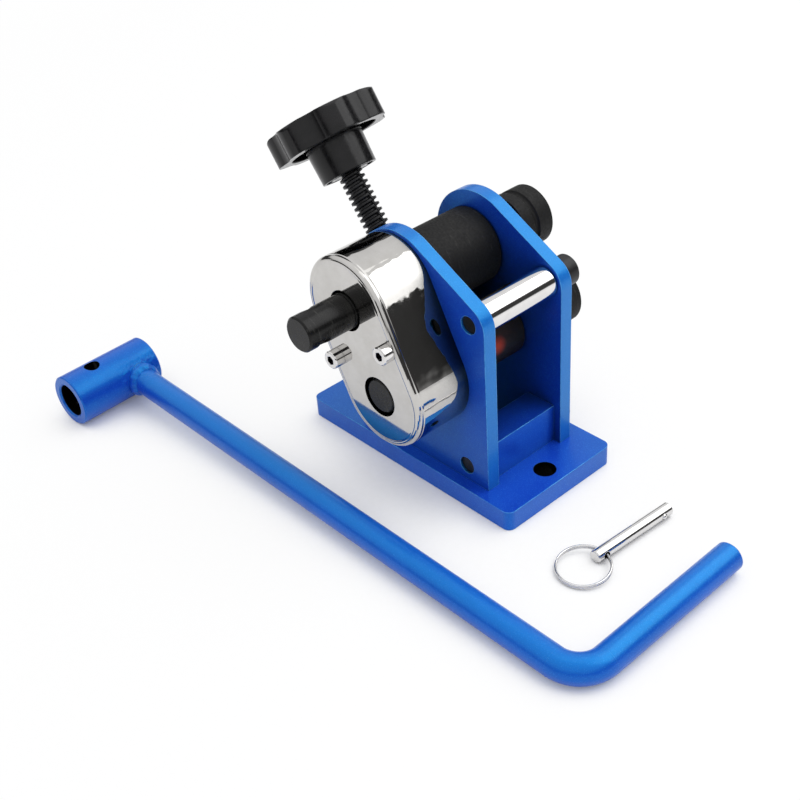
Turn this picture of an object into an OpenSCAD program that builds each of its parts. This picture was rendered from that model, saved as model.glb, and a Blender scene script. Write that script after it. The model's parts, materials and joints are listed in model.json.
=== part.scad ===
/* [Base plate] */
// Length of the base plate
base_l = 140; // [125:1:180]
// Width of the base plate across the side plates
base_w = 72; // [66:1:110]
// Thickness of the base plate
base_t = 10.5; // [8:0.5:16]
// Radius of the base plate's corners
base_corner_r = 4; // [1:0.5:10]
// Diameter of the two bench bolt holes
bench_hole_d = 10.7; // [6:0.1:13]
// Distance of each bench bolt hole from the middle
bench_hole_x = 59.4; // [58:0.2:61]

/* [Side plates] */
// Thickness of each side plate
plate_t = 7; // [6:0.5:10]
// Clear gap between the side plates
plate_gap = 43; // [41:0.5:46]
// Middle of the gap, measured from the middle of the base
gap_y = -1.3; // [-2:0.1:2]
// Right hand edge of the side plates, from the middle of the base
plate_right_x = 51.2; // [51:0.1:54]
// Radius of the round top
top_r = 26.4; // [25:0.2:28]
// Fall of the sloping edge, in degrees
slope_angle = 28.6; // [27:0.2:30]
// Radius of the upper right hand corner
shoulder_r = 12; // [6:0.5:14]
// Left hand foot of the side plates, from the middle of the base
foot_x = 37; // [30:0.5:40]

/* [Shafts and gears] */
// Sideways place of the drive shaft
drive_x = -3.66; // [-5:0.1:-3]
// Height of the drive shaft above the bench
drive_z = 101.6; // [100:0.2:104]
// Lean of the line from the driven shaft up to the drive shaft
line_tilt = 26.6; // [25:0.2:28]
// Teeth on each gear
gear_teeth = 28; // [27:1:29]
// Tooth module of the gears
gear_module = 1.5; // [1.45:0.01:1.52]
// Length of the gear teeth
gear_face = 12; // [8:0.5:13]
// Diameter of both driven shafts
shaft_d = 17; // [15:0.5:17.5]
// Length of the stub that stands out of the gear cover
stub_l = 26.6; // [24:0.2:34]
// Diameter of the cross hole in the stub
stub_hole_d = 7.4; // [6.6:0.1:8]
// Distance of the cross hole from the end of the stub
stub_hole_in = 9; // [7:0.1:11]

/* [Rollers] */
// Diameter of the upper roller
upper_roller_d = 38; // [34:0.5:39]
// Diameter of the lower roller
lower_roller_d = 29; // [26:0.5:30]
// Diameter of the rollers outside the rear plate
outer_roller_d = 30; // [26:0.5:31]
// Length of the rollers outside the rear plate
outer_roller_l = 31.5; // [28:0.5:36]
// Diameter of the adjustable roller
idler_d = 24; // [21:0.5:25]
// Diameter of the adjustable roller's shaft
idler_shaft_d = 10; // [9:0.5:10.5]

/* [Gear cover] */
// Depth of the cover in front of the front plate
cover_depth = 31.2; // [31:0.1:36]
// Radius of the cover's round ends
cover_r = 25.6; // [25:0.1:27]
// Wall of the cover
cover_wall = 1.5; // [1:0.1:1.6]
// Rounding of the cover's front edge
cover_edge_r = 2.5; // [2:0.5:6]
// Diameter of the two shaft holes in the cover
cover_hole_d = 19.7; // [18.5:0.1:22]
// Distance of each cover screw from the middle of the cover
cover_screw_x = 19.4; // [19:0.1:19.6]

/* [Adjusting screw] */
// Lean of the adjusting screw from upright
screw_tilt = 36.44; // [35:0.2:38]
// Distance of the screw's axis from the drive shaft
screw_offset = 34.57; // [34:0.1:35.4]
// Major diameter of the thread
screw_d = 12.6; // [11:0.1:13]
// Pitch of the thread
screw_pitch = 3; // [2:0.5:3]
// Height of the knob above the adjustable roller's shaft
knob_height = 75.5; // [74:0.5:110]
// How far the adjustable roller moves
idler_travel = 15; // [8:0.5:15]
// Diameter of the knob over its lobes
knob_d = 59; // [54:1:62]
// Height of the knob's rim
knob_rim_h = 14.3; // [10:0.1:16]
// Diameter of the knob's hub
knob_hub_d = 28.5; // [26:0.5:32]
// Length of the knob's hub under the rim
knob_hub_h = 16.8; // [14:0.1:22]
// Number of lobes on the knob
knob_lobes = 7; // [6:1:8]

/* [Crank] */
// Outer diameter of the crank's socket
socket_d = 27.5; // [26:0.5:32]
// Length of the socket
socket_l = 50; // [48:0.5:60]
// Bore of the socket
socket_bore_d = 17.4; // [17.2:0.1:18.5]
// Depth of the bore
socket_bore_l = 32; // [28:0.5:36]
// Diameter of the hole across the socket
socket_hole_d = 8; // [6.6:0.1:9]
// Distance of that hole from the open end
socket_hole_in = 17; // [14:0.5:20]
// Diameter of the crank's round bar
bar_d = 14; // [12:0.2:16]
// Crank radius, from the socket to the grip
crank_arm_l = 318; // [240:1:360]
// Length of the grip from the corner of the crank
grip_l = 100; // [70:1:130]
// Inner radius of the bend
bend_r = 8; // [5:0.5:14]

/* [Locking pin] */
// Diameter of the locking pin
pin_d = 6.35; // [6:0.05:6.4]
// Length of the locking pin
pin_l = 48.8; // [44:0.5:60]
// Outer diameter of the pull ring
ring_d = 26; // [22:0.5:34]
// Wire of the pull ring
ring_wire_d = 1.2; // [1:0.1:1.4]

/* [Hidden] */
$fn = 64;

// Overrun of every cut through a face
over = 0.5;
// Gap between a piece and the piece it turns against
run_gap = 0.4;
// Radial clearance of a shaft in its bush
fit_gap = 0.04;
// Radial clearance of a screw or key in its seat
seat_gap = 0.02;

// Faces of the side plates
rear_in_y = gap_y + plate_gap / 2;
rear_out_y = rear_in_y + plate_t;
front_in_y = gap_y - plate_gap / 2;
front_out_y = front_in_y - plate_t;

// Shaft places
centre_dist = gear_teeth * gear_module;
driven_x = drive_x + centre_dist * sin(line_tilt);
driven_z = drive_z - centre_dist * cos(line_tilt);

// Round top of the side plates, a little right of the drive shaft and above it
top_right_share = 0.063;
top_up_share = 0.03;
top_x = drive_x + top_right_share * top_r;
top_z = drive_z + top_up_share * top_r;

// Through bolts of the frame and the block they hold
tie_x = 41.7;
tie_z = 98.1;
tie_bar_d = 15;
tie_edge = 1;
block_x0 = 30.1;
block_x1 = 47.2;
block_h = 20.6;
block_bolt_x = 37.4;
block_bolt_h = 8.1;
block_bolt_z = base_t + block_bolt_h;
tie_bolt_d = 8.8;
tie_head_d = 15;
tie_head_h = 8.5;
tie_socket_af = 8;
tie_socket_h = 5;
tie_recess = 1.1;

// Base screws, driven up into the plates
base_screw_d = 6;
base_head_d = 11.4;
base_head_h = 3.3;
base_screw_l = 22;
base_screw_x = 22;
base_screw_sink = 0.4;
base_socket_af = 4;
base_socket_h = 2;

// Bearing bushes
bush_wall = 2.5;
bush_rim = 2.5;
bush_d = shaft_d + 2 * bush_wall;
bush_flange_d = bush_d + 2 * bush_rim;
bush_flange_t = 1;
idler_bush_d = idler_shaft_d + 3;

// Gears
pressure_angle = 20;
tooth_root_share = 1.25;
flank_steps = 4;
backlash = 0.24;
gear_hub_d = bush_flange_d;
gear_hub_h = 3;
gear_back_y = front_out_y - bush_flange_t - run_gap;
gear_front_y = gear_back_y - gear_hub_h - gear_face;

// Keys
key_w = 5;
key_in = 3;
key_out = 2;
key_slack = 0.3;
gear_key_l = 10;
roller_key_l = 30;
outer_key_l = 20;

// Retaining rings
ring_groove_in = 0.5;
ring_t = 1.2;
ring_band = 2.6;
ring_lug_d = 5;
ring_lug_hole_d = 1.8;
ring_gap_w = 4;

// Cover
cover_face_y = front_out_y - cover_depth;
edge_steps = 6;
standoff_d = 8;
standoff_stud_l = 6;
cover_screw_d = 5;
cover_screw_l = 12;
cover_head_d = 8.8;
cover_head_h = 5;
cover_socket_af = 4;
cover_socket_h = 2.6;
head_edge = 0.5;

// Shaft ends
stub_end_y = cover_face_y - stub_l;
driven_end_y = cover_face_y + 0.4;
stub_edge = 0.8;
stub_hole_angle = 135;
stub_relief_in = 1;
stub_relief_w = 0.8;
stub_relief_depth = 0.5;
outer_y0 = rear_out_y + bush_flange_t + 0.3;
outer_y1 = outer_y0 + outer_roller_l;
shaft_short = 0.4;
end_screw_d = 8;
end_screw_l = 18;
end_head_d = 14;
end_head_h = 4.4;
end_washer_d = 22;
end_washer_t = 2.5;
end_socket_af = 5;
end_socket_h = 2.6;
head_side_share = 1 / 3;
head_shoulder_share = 0.75;
head_shoulder_r_share = 0.84;
head_flat_share = 0.6;

// Rollers
roller_edge = 0.8;
roller_gap = 0.5;
groove_r = 4;
groove_y = 8;
small_groove_r = 2;
small_groove_y = 20.2;
small_groove_depth = 1.2;
groove_facets = 32;

// Adjustable roller: places along the screw's axis, from the roller's shaft up
idler_drop = 18.6;
yoke_arm_t = 5;
yoke_w = 18;
yoke_head_z0 = 16.5;
yoke_head_z1 = 23;
guide_w = 16;
guide_top_z = 14;
guide_gap = 0.05;
guide_short = 0.3;
front_slot_depth = 4.5;
nut_z0 = 24.4;
nut_z1 = 34;
nut_w = 20;
ear_z1 = 35;
ear_side = 13;
ear_corner_r = 4;
nut_screw_d = 5;
nut_screw_s = 5.4;
nut_screw_l = 16;
nut_head_d = 9.4;
nut_head_h = 2.7;
nut_socket_af = 3;
nut_socket_h = 1.6;
idler_front_y = front_in_y - front_slot_depth + 2 * run_gap;
idler_key_w = 3;
idler_key_in = 1.8;
idler_key_out = 1.2;
idler_washer_share = 0.75;

// Adjusting screw
journal_d = 9;
journal_z0 = 13.9;
thread_depth = 1.75;
thread_flat_share = 0.34;
thread_root_share = 0.3;
insert_d = 16;
insert_l = 20;
screw_top_d = 10;

// Knob
lobe_r = 11;
lobe_overlap = 0.1;
knob_turn = 30;
scallop_r = 13;
lobe_at = knob_d / 2 + lobe_overlap - lobe_r;
rim_wall = 6.8;
rim_pocket_depth = 9;
rim_pocket_gap = 0.1;
knob_top_edge_r = 2;
hub_pocket_in = 1.6;
hub_pocket_depth = 7;
hub_rib_t = 1.6;
hub_ribs = 6;
hub_taper = 0.5;

// Crank, where it lies on the bench
crank_corner_x = 156.78;
crank_corner_y = -86.58;
crank_turn = 0.67;
crank_x = crank_corner_x - crank_arm_l * cos(crank_turn);
crank_y = crank_corner_y - crank_arm_l * sin(crank_turn);
socket_skew = 1.9;
socket_back = 12;
socket_mouth_d = 19.5;
socket_mouth_h = 1.05;
socket_edge = 0.6;
socket_hole_angle = 90;
grip_lean = 0.2;
grip_edge = 1.2;
weld_r = 1.8;
bend_thinning = 0.1;
turn_r = bend_r + bar_d / 2;
sweep = 90 - grip_lean;
bend_reach = turn_r * tan(sweep / 2);
arm_straight = crank_arm_l - bend_reach;
grip_straight = grip_l - bend_reach;
grip_end_x = arm_straight + turn_r * sin(sweep) + grip_straight * cos(sweep);
crank_sink_angle = asin((socket_d - bar_d) / 2 / grip_end_x);

// Locking pin, where it lies on the bench
pin_x = 111.3;
pin_y = -24.8;
pin_turn = 3.6;
pin_edge = 0.6;
pin_hole_d = 3.6;
pin_hole_in = 4.8;
ball_d = 3;
ball_in = 6;
ball_out = 0.7;
ball_travel = 0.6;
ball_gap = 0.05;
spring_d = 2.4;
spring_wire_d = 0.4;
spring_end = 1.9;
spring_seat_gap = 0.01;
ring_turn_share = 0.45;
ring_facets = 24;
pull_ring_sag = 0.4;

// Corners of an outline, each [x, z, radius], joined by their outer tangents; a radius of 0 is a sharp corner
function tangent_points(a, b) =
    let (
        run = norm([b.x - a.x, b.y - a.y]),
        heading = atan2(b.y - a.y, b.x - a.x),
        side = heading - 90 - asin((b.z - a.z) / run)
    )
    [
        [a.x + a.z * cos(side), a.y + a.z * sin(side)],
        [b.x + b.z * cos(side), b.y + b.z * sin(side)]
    ];

module rounded_outline(corners) {
    count = len(corners);
    polygon([for (i = [0:count - 1]) each tangent_points(corners[i], corners[(i + 1) % count])]);
    for (corner = corners) {
        if (corner.z > 0) translate([corner.x, corner.y]) circle(r = corner.z);
    }
}

// Flat outline drawn in X and Z, raised along Y from y0
module slab(y0, thickness) {
    translate([0, y0 + thickness, 0]) rotate([90, 0, 0]) linear_extrude(thickness) children();
}

// Half section drawn as [radius, y], turned about the Y axis
module turned(half_section) {
    rotate([-90, 0, 0]) rotate_extrude() polygon(half_section);
}

// Plain round bar along Y
module bar_y(d, y0, y1) {
    translate([0, y1, 0]) rotate([90, 0, 0]) cylinder(h = y1 - y0, d = d);
}

// Ring or roller along Y with both outer edges broken
module roller_blank(d, y0, y1, edge, bore) {
    turned([
        [bore / 2, y0],
        [d / 2 - edge, y0],
        [d / 2, y0 + edge],
        [d / 2, y1 - edge],
        [d / 2 - edge, y1],
        [bore / 2, y1]
    ]);
}

module hexagon(across_flats) {
    circle(d = across_flats / cos(30), $fn = 6);
}

module at_drive() {
    translate([drive_x, 0, drive_z]) children();
}

module at_driven() {
    translate([driven_x, 0, driven_z]) children();
}

// Frame of the adjusting screw: origin on the adjustable roller's shaft, Z up the screw
module at_idler() {
    at_drive() rotate([0, -screw_tilt, 0]) translate([-screw_offset, 0, -idler_drop]) children();
}

// Points of one gear tooth flank, from the root to the tip
function involute(angle) = tan(angle) * 180 / PI - angle;

function flank_half_angle(r, base_r, half_angle) =
    half_angle + involute(pressure_angle) - involute(acos(min(1, base_r / r)));

module gear_outline() {
    pitch_r = gear_module * gear_teeth / 2;
    base_r = pitch_r * cos(pressure_angle);
    tip_r = pitch_r + gear_module;
    root_r = pitch_r - tooth_root_share * gear_module;
    half_angle = 90 / gear_teeth - backlash / 4 / pitch_r * 180 / PI;
    radii = concat([root_r], [for (i = [0:flank_steps]) base_r + (tip_r - base_r) * i / flank_steps]);
    halves = [for (r = radii) flank_half_angle(max(r, base_r), base_r, half_angle)];
    last = len(radii) - 1;
    polygon([
        for (tooth = [0:gear_teeth - 1])
            let (middle = tooth * 360 / gear_teeth)
            each concat(
                [for (i = [0:last]) radii[i] * [cos(middle - halves[i]), sin(middle - halves[i])]],
                [for (i = [last:-1:0]) radii[i] * [cos(middle + halves[i]), sin(middle + halves[i])]]
            )
    ]);
}

// Base plate and side plates
module base_plate() {
    color("royalblue") difference() {
        linear_extrude(base_t) rounded_outline([
            [-base_l / 2 + base_corner_r, -base_w / 2 + base_corner_r, base_corner_r],
            [base_l / 2 - base_corner_r, -base_w / 2 + base_corner_r, base_corner_r],
            [base_l / 2 - base_corner_r, base_w / 2 - base_corner_r, base_corner_r],
            [-base_l / 2 + base_corner_r, base_w / 2 - base_corner_r, base_corner_r]
        ]);
        for (side = [-1, 1]) {
            translate([side * bench_hole_x, 0, -over]) cylinder(h = base_t + 2 * over, d = bench_hole_d);
        }
        base_screw_places() {
            translate([0, 0, -over]) cylinder(h = base_t + 2 * over, d = base_screw_d + 2 * seat_gap);
            translate([0, 0, -over]) cylinder(h = base_screw_sink + over, d = base_head_d + 2 * seat_gap);
            translate([0, 0, base_screw_sink]) countersink(base_head_d, base_screw_d, base_head_h, seat_gap);
        }
    }
}

// Cone of a countersunk head, widest at its foot
module countersink(head_d, shank_d, height, gap) {
    cylinder(h = height, d1 = head_d + 2 * gap, d2 = shank_d + 2 * gap);
}

module base_screw_places() {
    for (x = [-base_screw_x, base_screw_x]) {
        for (y = [front_in_y - plate_t / 2, rear_in_y + plate_t / 2]) {
            translate([x, y, 0]) children();
        }
    }
}

module base_screws() {
    color("dimgray") base_screw_places() translate([0, 0, base_screw_sink]) difference() {
        union() {
            countersink(base_head_d, base_screw_d, base_head_h, 0);
            cylinder(h = base_screw_l - base_screw_sink, d = base_screw_d);
        }
        translate([0, 0, -over]) linear_extrude(base_socket_h + over) hexagon(base_socket_af);
    }
}

// Outline of both side plates: the round top, the slope, the foot and the ear that holds the screw block
module side_plate_outline() {
    edge_x = plate_right_x - shoulder_r;
    slope_drop = (edge_x - top_x) * tan(slope_angle) - (top_r - shoulder_r) / cos(slope_angle);
    rounded_outline([
        [-foot_x, base_t, 0],
        [plate_right_x, base_t, 0],
        [edge_x, top_z - slope_drop, shoulder_r],
        [top_x, top_z, top_r]
    ]);
    screw_frame_2d() rounded_outline([
        [-ear_side + ear_corner_r, -ear_side, ear_corner_r],
        [ear_side, -ear_side, ear_corner_r],
        [ear_side + ear_corner_r, ear_z1 - ear_corner_r, ear_corner_r],
        [-ear_side + ear_corner_r, ear_z1 - ear_corner_r, ear_corner_r]
    ]);
}

// The adjusting screw's frame in a flat X and Z drawing
module screw_frame_2d() {
    translate([drive_x, drive_z]) rotate(screw_tilt) translate([-screw_offset, -idler_drop]) children();
}

// Slot for the yoke's guides, long enough for the whole travel
module guide_slot_outline(gap) {
    rounded_outline([
        [0, -idler_travel - gap, guide_w / 2 + gap],
        [0, guide_top_z - guide_w / 2 + guide_short, guide_w / 2 + gap]
    ]);
}

module side_plate(y0, through_d) {
    color("royalblue") difference() {
        slab(y0, plate_t) side_plate_outline();
        at_drive() bar_y(bush_d + 2 * seat_gap, y0 - over, y0 + plate_t + over);
        at_driven() bar_y(bush_d + 2 * seat_gap, y0 - over, y0 + plate_t + over);
        tie_bolt_places() bar_y(through_d, y0 - over, y0 + plate_t + over);
        base_screw_places() cylinder(h = base_screw_l + seat_gap, d = base_screw_d + 2 * seat_gap);
        children();
    }
}

module tie_bolt_places() {
    translate([tie_x, 0, tie_z]) children();
    translate([block_bolt_x, 0, block_bolt_z]) children();
}

module front_side_plate() {
    side_plate(front_out_y, tie_bolt_d + 2 * seat_gap) {
        slab(front_in_y - front_slot_depth, front_slot_depth + over) screw_frame_2d() guide_slot_outline(guide_gap);
        nut_screw_places() nut_screw_cut(front_out_y, 1);
        standoff_places() bar_y(cover_screw_d + 2 * seat_gap, front_out_y - over, front_out_y + standoff_stud_l);
    }
}

module rear_side_plate() {
    side_plate(rear_in_y, tie_bolt_d + 2 * seat_gap) {
        slab(rear_in_y - over, plate_t + 2 * over) screw_frame_2d() guide_slot_outline(guide_gap);
        nut_screw_places() nut_screw_cut(rear_out_y, -1);
    }
}

// Frame between the plates
module spacer_block() {
    color("royalblue") difference() {
        translate([block_x0, front_in_y, base_t]) cube([block_x1 - block_x0, plate_gap, block_h]);
        translate([block_bolt_x, 0, block_bolt_z]) {
            bar_y(tie_bolt_d + 2 * seat_gap, front_in_y - over, rear_in_y + over);
        }
    }
}

module tie_bar() {
    color("gainsboro") translate([tie_x, 0, tie_z]) {
        roller_blank(tie_bar_d, front_in_y, rear_in_y, tie_edge, tie_bolt_d + 2 * seat_gap);
    }
}

// Two long bolts from the rear, with cap heads and hexagon sockets
module tie_bolts() {
    head_end_y = rear_out_y + tie_head_h;
    color("#202020") tie_bolt_places() difference() {
        turned([
            [0, front_out_y + tie_recess],
            [tie_bolt_d / 2, front_out_y + tie_recess],
            [tie_bolt_d / 2, rear_out_y],
            [tie_head_d / 2, rear_out_y],
            [tie_head_d / 2, head_end_y - tie_edge],
            [tie_head_d / 2 - tie_edge, head_end_y],
            [0, head_end_y]
        ]);
        slab(head_end_y - tie_socket_h, tie_socket_h + over) hexagon(tie_socket_af);
    }
}

// Cross block with the screw's threaded hole, and its four countersunk screws
module nut_screw_places() {
    for (side = [-1, 1]) {
        at_idler() translate([side * nut_screw_s, 0, (nut_z0 + nut_z1) / 2]) children();
    }
}

// Countersunk screw hole that starts at face_y and runs along inward
module nut_screw_cut(face_y, inward) {
    translate([0, face_y, 0]) rotate([-90 * inward, 0, 0]) {
        translate([0, 0, -over]) cylinder(h = nut_screw_l + over, d = nut_screw_d + 2 * seat_gap);
        translate([0, 0, base_screw_sink]) countersink(nut_head_d, nut_screw_d, nut_head_h, seat_gap);
        translate([0, 0, -over]) cylinder(h = base_screw_sink + over, d = nut_head_d + 2 * seat_gap);
    }
}

module nut_screw(face_y, inward) {
    translate([0, face_y, 0]) rotate([-90 * inward, 0, 0]) translate([0, 0, base_screw_sink]) difference() {
        union() {
            countersink(nut_head_d, nut_screw_d, nut_head_h, 0);
            cylinder(h = nut_screw_l - 2 * base_screw_sink, d = nut_screw_d);
        }
        translate([0, 0, -over]) linear_extrude(nut_socket_h + over) hexagon(nut_socket_af);
    }
}

module screw_nut_block() {
    color("#303030") difference() {
        at_idler() difference() {
            translate([-nut_w / 2, front_in_y, nut_z0]) cube([nut_w, plate_gap, nut_z1 - nut_z0]);
            translate([0, gap_y, nut_z0 - over]) cylinder(h = nut_z1 - nut_z0 + 2 * over, d = screw_d + 2 * fit_gap);
        }
        nut_screw_places() nut_screw_cut(front_out_y, 1);
        nut_screw_places() nut_screw_cut(rear_out_y, -1);
    }
}

module nut_block_screws() {
    color("dimgray") nut_screw_places() {
        nut_screw(front_out_y, 1);
        nut_screw(rear_out_y, -1);
    }
}

// Flanged bush: the sleeve fills the plate and the flange stands outside it
module plate_bush(inner_y, outer_y) {
    outward = sign(outer_y - inner_y);
    color("#b5793a") turned([
        [shaft_d / 2 + fit_gap, inner_y],
        [bush_d / 2, inner_y],
        [bush_d / 2, outer_y],
        [bush_flange_d / 2, outer_y],
        [bush_flange_d / 2, outer_y + outward * bush_flange_t],
        [shaft_d / 2 + fit_gap, outer_y + outward * bush_flange_t]
    ]);
}

module drive_bush_front() {
    at_drive() plate_bush(front_in_y, front_out_y);
}

module drive_bush_rear() {
    at_drive() plate_bush(rear_in_y, rear_out_y);
}

module driven_bush_front() {
    at_driven() plate_bush(front_in_y, front_out_y);
}

module driven_bush_rear() {
    at_driven() plate_bush(rear_in_y, rear_out_y);
}

// Frame along the cover: origin on the driven shaft, Z up to the drive shaft
module at_cover() {
    at_driven() rotate([0, -line_tilt, 0]) children();
}

module standoff_places() {
    for (side = [-1, 1]) {
        at_cover() translate([side * cover_screw_x, 0, centre_dist / 2]) children();
    }
}

// Drawn shell with round ends: one half section, turned at both ends and run straight between them
module stadium(half_section) {
    turned(half_section);
    translate([0, 0, centre_dist]) turned(half_section);
    for (side = [0, 1]) {
        mirror([side, 0, 0]) linear_extrude(centre_dist) polygon(half_section);
    }
}

// Half section of a cup that is closed at face_y, with a rounded edge
function cup_section(r, face_y, back_y, edge_r) =
    concat(
        [[0, back_y], [0, face_y]],
        [for (i = [0:edge_steps]) [
            r - edge_r + edge_r * sin(i * 90 / edge_steps),
            face_y + edge_r - edge_r * cos(i * 90 / edge_steps)
        ]],
        [[r, back_y]]
    );

module gear_cover() {
    inner_y = cover_face_y + cover_wall;
    color("silver") difference() {
        at_cover() difference() {
            stadium(cup_section(cover_r, cover_face_y, front_out_y, cover_edge_r));
            stadium(cup_section(cover_r - cover_wall, inner_y, front_out_y + over, cover_edge_r - cover_wall));
        }
        at_drive() bar_y(cover_hole_d, cover_face_y - over, inner_y + over);
        at_driven() bar_y(cover_hole_d, cover_face_y - over, inner_y + over);
        standoff_places() bar_y(cover_screw_d + 2 * seat_gap, cover_face_y - over, inner_y + over);
    }
}

module cover_standoffs() {
    end_y = cover_face_y + cover_wall;
    hole_r = cover_screw_d / 2 + seat_gap;
    hole_l = cover_screw_l;
    color("silver") standoff_places() turned([
        [0, end_y + hole_l],
        [hole_r, end_y + hole_l],
        [hole_r, end_y],
        [standoff_d / 2, end_y],
        [standoff_d / 2, front_out_y],
        [cover_screw_d / 2, front_out_y],
        [cover_screw_d / 2, front_out_y + standoff_stud_l - over],
        [0, front_out_y + standoff_stud_l - over]
    ]);
}

module cover_screws() {
    head_r = cover_head_d / 2;
    color("gainsboro") standoff_places() difference() {
        turned([
            [0, cover_face_y - cover_head_h],
            [head_r - head_edge, cover_face_y - cover_head_h],
            [head_r, cover_face_y - cover_head_h + head_edge],
            [head_r, cover_face_y],
            [cover_screw_d / 2, cover_face_y],
            [cover_screw_d / 2, cover_face_y + cover_screw_l],
            [0, cover_face_y + cover_screw_l]
        ]);
        slab(cover_face_y - cover_head_h - over, cover_socket_h + over) hexagon(cover_socket_af);
    }
}

// Key seats cut from the top of a shaft, and the slots that match them in the pieces it carries
module key_box(y0, y1, low, high, width) {
    translate([-width / 2, y0, low]) cube([width, y1 - y0, high - low]);
}

function key_spans() = [
    [gear_back_y - gear_hub_h / 2 - gear_key_l, gear_back_y - gear_hub_h / 2],
    [gap_y - roller_key_l / 2, gap_y + roller_key_l / 2],
    [outer_y0 + run_gap, outer_y0 + outer_key_l]
];

module key_cuts(d, slot) {
    for (span = key_spans()) {
        key_box(span[0], span[1], d / 2 - key_in, slot, key_w);
    }
}

module shaft_keys(d) {
    color("dimgray") for (span = key_spans()) {
        key_box(span[0], span[1], d / 2 - key_in, d / 2 + key_out, key_w);
    }
}

// Driven shaft: plain round bar with key seats, a ring groove and a tapped rear end
module roller_shaft(front_y) {
    groove_y = gear_front_y - ring_t;
    color("#262626") difference() {
        turned([
            [0, front_y],
            [shaft_d / 2 - stub_edge, front_y],
            [shaft_d / 2, front_y + stub_edge],
            [shaft_d / 2, groove_y],
            [shaft_d / 2 - ring_groove_in, groove_y],
            [shaft_d / 2 - ring_groove_in, gear_front_y],
            [shaft_d / 2, gear_front_y],
            [shaft_d / 2, outer_y1 - shaft_short],
            [0, outer_y1 - shaft_short]
        ]);
        key_cuts(shaft_d, shaft_d);
        bar_y(end_screw_d + 2 * seat_gap, outer_y1 - end_screw_l - over, outer_y1);
    }
}

module drive_shaft() {
    at_drive() difference() {
        roller_shaft(stub_end_y);
        translate([0, stub_end_y + stub_hole_in, 0]) rotate([0, 90 - stub_hole_angle, 0]) {
            cylinder(h = 2 * shaft_d, d = stub_hole_d, center = true);
        }
        difference() {
            bar_y(shaft_d + 2, cover_face_y - stub_relief_in, cover_face_y - stub_relief_in + stub_relief_w);
            bar_y(shaft_d - 2 * stub_relief_depth, stub_end_y, gear_front_y);
        }
    }
}

module driven_shaft() {
    at_driven() roller_shaft(driven_end_y);
}

// Spur gear with a hub on the bush's side
module shaft_gear(phase) {
    color("#8f9194") difference() {
        union() {
            slab(gear_front_y, gear_face) rotate(phase) gear_outline();
            bar_y(gear_hub_d, gear_back_y - gear_hub_h, gear_back_y);
        }
        bar_y(shaft_d, gear_front_y - over, gear_back_y + over);
        key_box(gear_front_y - over, gear_back_y + over, 0, shaft_d / 2 + key_out + key_slack, key_w);
    }
}

module drive_gear() {
    at_drive() shaft_gear(line_tilt - 90);
}

module driven_gear() {
    at_driven() shaft_gear(line_tilt + 90 + 180 / gear_teeth);
}

module drive_keys() {
    at_drive() shaft_keys(shaft_d);
}

module driven_keys() {
    at_driven() shaft_keys(shaft_d);
}

// Open retaining ring with two pierced lugs at its gap, below the shaft
module retaining_ring(d, y0) {
    inner_r = d / 2 - ring_groove_in;
    lug_z = -inner_r - ring_lug_d / 2 + ring_groove_in;
    slab(y0, ring_t) difference() {
        union() {
            circle(r = inner_r + ring_band);
            for (side = [-1, 1]) {
                translate([side * (ring_gap_w + ring_lug_d) / 2, lug_z]) circle(d = ring_lug_d);
            }
        }
        circle(r = inner_r);
        translate([-ring_gap_w / 2, -2 * d]) square([ring_gap_w, 2 * d]);
        for (side = [-1, 1]) {
            translate([side * (ring_gap_w + ring_lug_d) / 2, lug_z]) circle(d = ring_lug_hole_d);
        }
    }
}

module drive_gear_ring() {
    color("#303030") at_drive() retaining_ring(shaft_d, gear_front_y - ring_t);
}

module driven_gear_ring() {
    color("#303030") at_driven() retaining_ring(shaft_d, gear_front_y - ring_t);
}

// Plain roller between the plates
module inner_roller(d) {
    y0 = front_in_y + roller_gap;
    y1 = rear_in_y - roller_gap;
    color("#2b2b2b") difference() {
        roller_blank(d, y0, y1, roller_edge, shaft_d);
        key_box(y0 - over, y1 + over, 0, shaft_d / 2 + key_out + key_slack, key_w);
    }
}

module upper_roller() {
    at_drive() inner_roller(upper_roller_d);
}

module lower_roller() {
    at_driven() inner_roller(lower_roller_d);
}

// Grooved roller outside the rear plate
module grooved_blank(d, bore) {
    difference() {
        roller_blank(d, outer_y0, outer_y1, roller_edge, bore);
        turned_groove(d / 2, outer_y0 + groove_y, groove_r);
        turned_groove(d / 2 + small_groove_r - small_groove_depth, outer_y0 + small_groove_y, small_groove_r);
    }
}

module turned_groove(ring_r, y, r) {
    translate([0, y, 0]) rotate([-90, 0, 0]) rotate_extrude() translate([ring_r, 0]) circle(r = r, $fn = groove_facets);
}

module outer_roller() {
    color("#2b2b2b") difference() {
        grooved_blank(outer_roller_d, shaft_d);
        key_box(outer_y0 - over, outer_y1 + over, 0, shaft_d / 2 + key_out + key_slack, key_w);
    }
}

module upper_outer_roller() {
    at_drive() outer_roller();
}

module lower_outer_roller() {
    at_driven() outer_roller();
}

// Washer and domed screw that hold an outer roller on its shaft
module end_washer(d, bolt_d) {
    color("#303030") roller_blank(d, outer_y1, outer_y1 + end_washer_t, head_edge, bolt_d + 2 * seat_gap);
}

module end_screw(bolt_d, head_d, length) {
    head_y = outer_y1 + end_washer_t;
    color("#303030") difference() {
        turned([
            [0, head_y - length],
            [bolt_d / 2, head_y - length],
            [bolt_d / 2, head_y],
            [head_d / 2, head_y],
            [head_d / 2, head_y + end_head_h * head_side_share],
            [head_d / 2 * head_shoulder_r_share, head_y + end_head_h * head_shoulder_share],
            [head_d / 2 * head_flat_share, head_y + end_head_h],
            [0, head_y + end_head_h]
        ]);
        slab(head_y + end_head_h - end_socket_h, end_socket_h + over) hexagon(end_socket_af);
    }
}

module upper_end_washer() {
    at_drive() end_washer(end_washer_d, end_screw_d);
}

module upper_end_screw() {
    at_drive() end_screw(end_screw_d, end_head_d, end_screw_l);
}

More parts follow.
